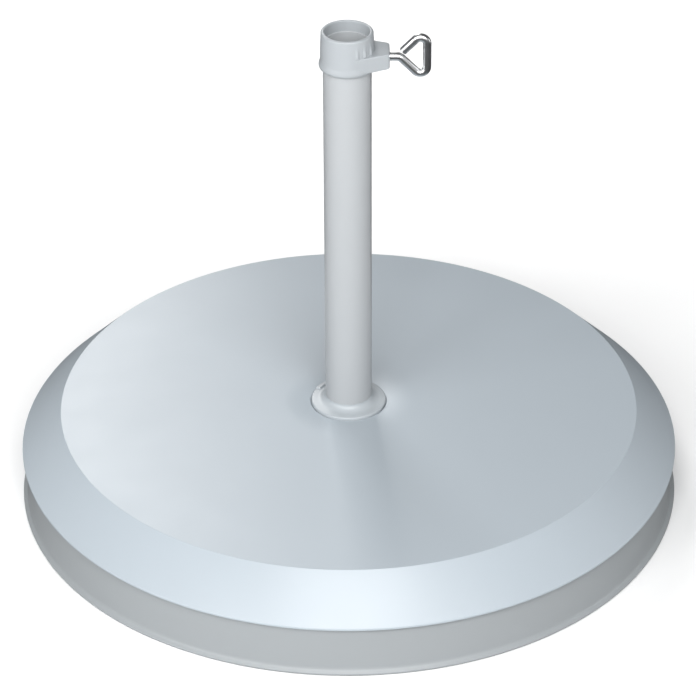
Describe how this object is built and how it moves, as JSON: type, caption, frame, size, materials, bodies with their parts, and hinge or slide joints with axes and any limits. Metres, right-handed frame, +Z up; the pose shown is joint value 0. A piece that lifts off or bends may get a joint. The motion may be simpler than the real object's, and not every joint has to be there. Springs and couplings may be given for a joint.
{
  "type": "parasol base",
  "caption": "Round weighted parasol base with a sloping shoulder, an upright stand tube and a collar whose wire loop screw clamps the pole.",
  "frame": {"origin": "middle of the footprint, on the ground under the feet", "axes": "+Z up along the stand tube, +X towards the clamp screw's loop"},
  "size_m": [0.6, 0.6, 0.46],
  "materials": {
    "shell_plastic": "cool pale grey, satin gloss",
    "tray_plastic": "cool mid grey, satin",
    "concrete": "cast concrete",
    "black_plastic": "moulded, matt",
    "tube_paint": "powder coated, pale grey, satin",
    "plain_steel": "turned",
    "zinc_steel": "bright zinc plate",
    "flange_plastic": "pale grey, satin gloss",
    "collar_plastic": "pale grey, satin gloss",
    "rubber": "moulded, matt",
    "brass": "turned and knurled",
    "nylon": "moulded nylon"
  },
  "bodies": {
    "base": {"top_shell": "shell_plastic", "base_tray": "tray_plastic", "ballast": "concrete", "socket_sleeve": "black_plastic", "stand_tube": "tube_paint", "tube_plug": "plain_steel", "foot_flange": "flange_plastic", "tie_bolt": "zinc_steel", "tie_washer": "zinc_steel", "lock_washer": "zinc_steel", "bolt_cover": "black_plastic", "shell_screws": "zinc_steel", "foot_1": "rubber", "foot_2": "rubber", "foot_3": "rubber", "foot_4": "rubber", "foot_5": "rubber", "foot_6": "rubber", "collar": "collar_plastic", "threaded_insert": "brass"},
    "pad": {"pressure_pad": "nylon"},
    "screw": {"clamp_screw": "zinc_steel"}
  },
  "joints": [
    {"name": "pad_slide", "type": "slide", "parent": "base", "child": "pad", "axis": [1, 0, 0], "range_m": [-0.006, 0.00063]},
    {"name": "screw_turn", "type": "hinge", "parent": "pad", "child": "screw", "pos_m": [0.03, 0, 0.4354], "axis": [1, 0, 0], "range_deg": [-1728.5, 180.5]}
  ],
  "couplings": [
    {"joint": "screw_turn", "follows": "pad_slide", "rad_per_m": 5026.5}
  ]
}
